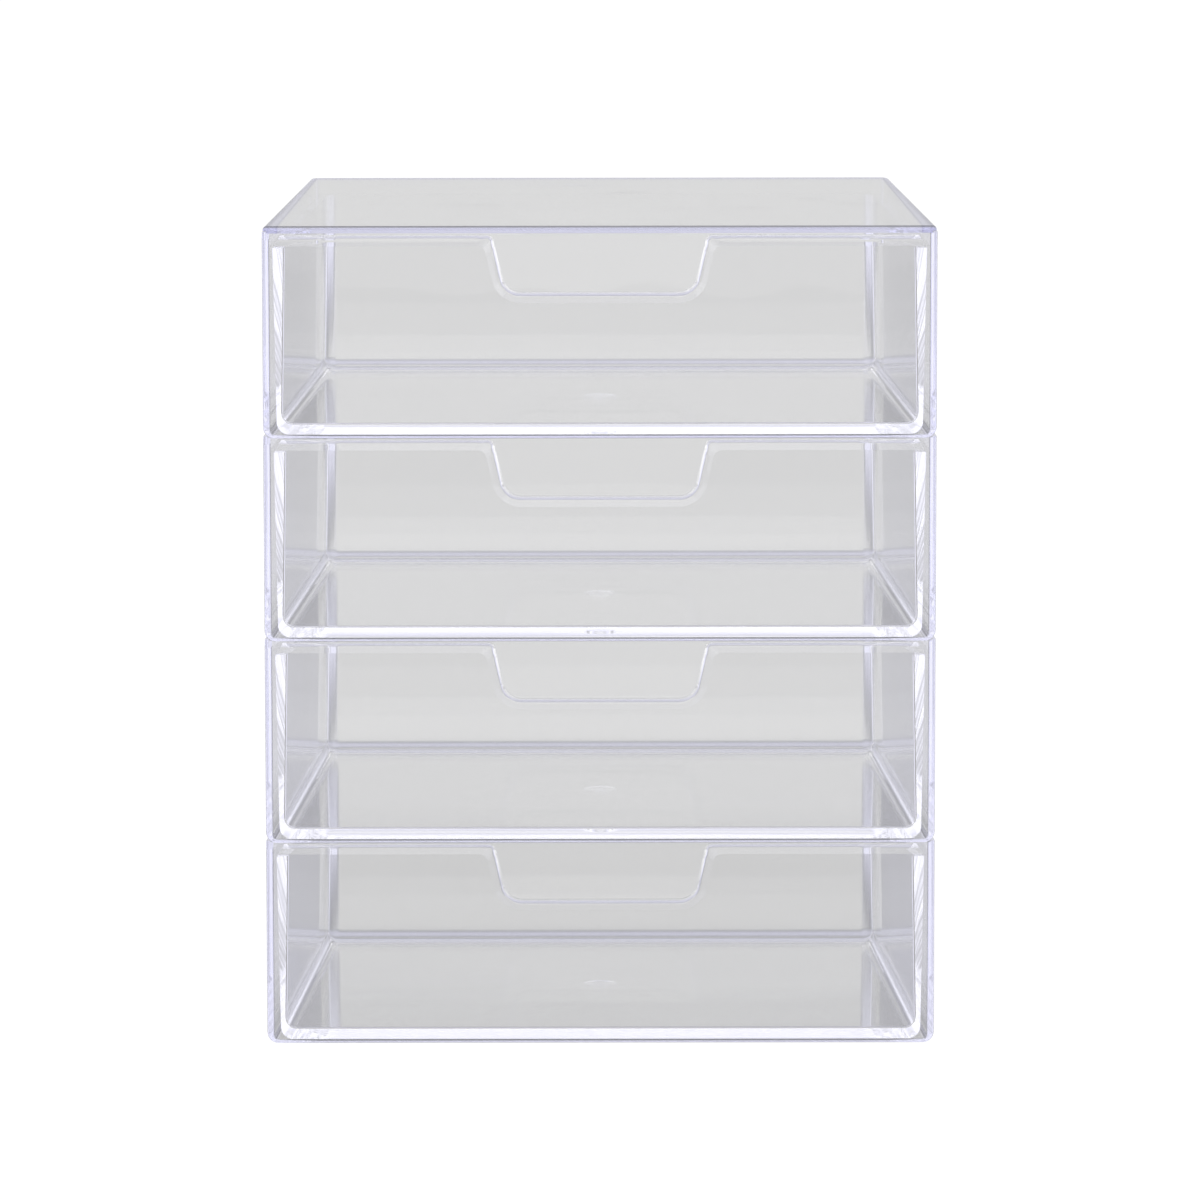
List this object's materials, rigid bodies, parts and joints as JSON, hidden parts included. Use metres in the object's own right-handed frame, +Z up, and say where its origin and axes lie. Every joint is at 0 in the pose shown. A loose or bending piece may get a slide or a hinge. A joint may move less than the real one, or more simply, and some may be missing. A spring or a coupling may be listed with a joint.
{
  "type": "drawer organizer",
  "caption": "Clear plastic stack of shallow drawers for a vanity or desk: each drawer slides in its own stacking tier and has a finger notch, under a flat cover.",
  "frame": {"origin": "centre of the underside of the whole organizer, on the surface that it stands on", "axes": "+Z up, drawers open towards -Y, +X to the right as seen from the front"},
  "size_m": [0.24, 0.18, 0.2954],
  "materials": {
    "casing_clear": "clear, glossy",
    "drawer_clear": "clear, glossy"
  },
  "bodies": {
    "tier_frame_1": {"tier_frame_1": "casing_clear"},
    "tier_frame_2": {"tier_frame_2": "casing_clear"},
    "tier_frame_3": {"tier_frame_3": "casing_clear"},
    "tier_frame_4": {"tier_frame_4": "casing_clear"},
    "drawer_1": {"drawer_1": "drawer_clear"},
    "drawer_2": {"drawer_2": "drawer_clear"},
    "drawer_3": {"drawer_3": "drawer_clear"},
    "drawer_4": {"drawer_4": "drawer_clear"},
    "top_cover": {"top_cover": "casing_clear"}
  },
  "joints": [
    {"name": "drawer_1_slide", "type": "slide", "parent": "tier_frame_1", "child": "drawer_1", "axis": [0, -1, 0], "range_m": [0, 0.13]},
    {"name": "drawer_2_slide", "type": "slide", "parent": "tier_frame_2", "child": "drawer_2", "axis": [0, -1, 0], "range_m": [0, 0.13]},
    {"name": "drawer_3_slide", "type": "slide", "parent": "tier_frame_3", "child": "drawer_3", "axis": [0, -1, 0], "range_m": [0, 0.13]},
    {"name": "drawer_4_slide", "type": "slide", "parent": "tier_frame_4", "child": "drawer_4", "axis": [0, -1, 0], "range_m": [0, 0.13]},
    {"name": "tier_2_lift", "type": "slide", "parent": "tier_frame_1", "child": "tier_frame_2", "axis": [0, 0, 1], "range_m": [0, 0.03]},
    {"name": "tier_3_lift", "type": "slide", "parent": "tier_frame_2", "child": "tier_frame_3", "axis": [0, 0, 1], "range_m": [0, 0.03]},
    {"name": "tier_4_lift", "type": "slide", "parent": "tier_frame_3", "child": "tier_frame_4", "axis": [0, 0, 1], "range_m": [0, 0.03]},
    {"name": "cover_lift", "type": "slide", "parent": "tier_frame_4", "child": "top_cover", "axis": [0, 0, 1], "range_m": [0, 0.03]}
  ]
}
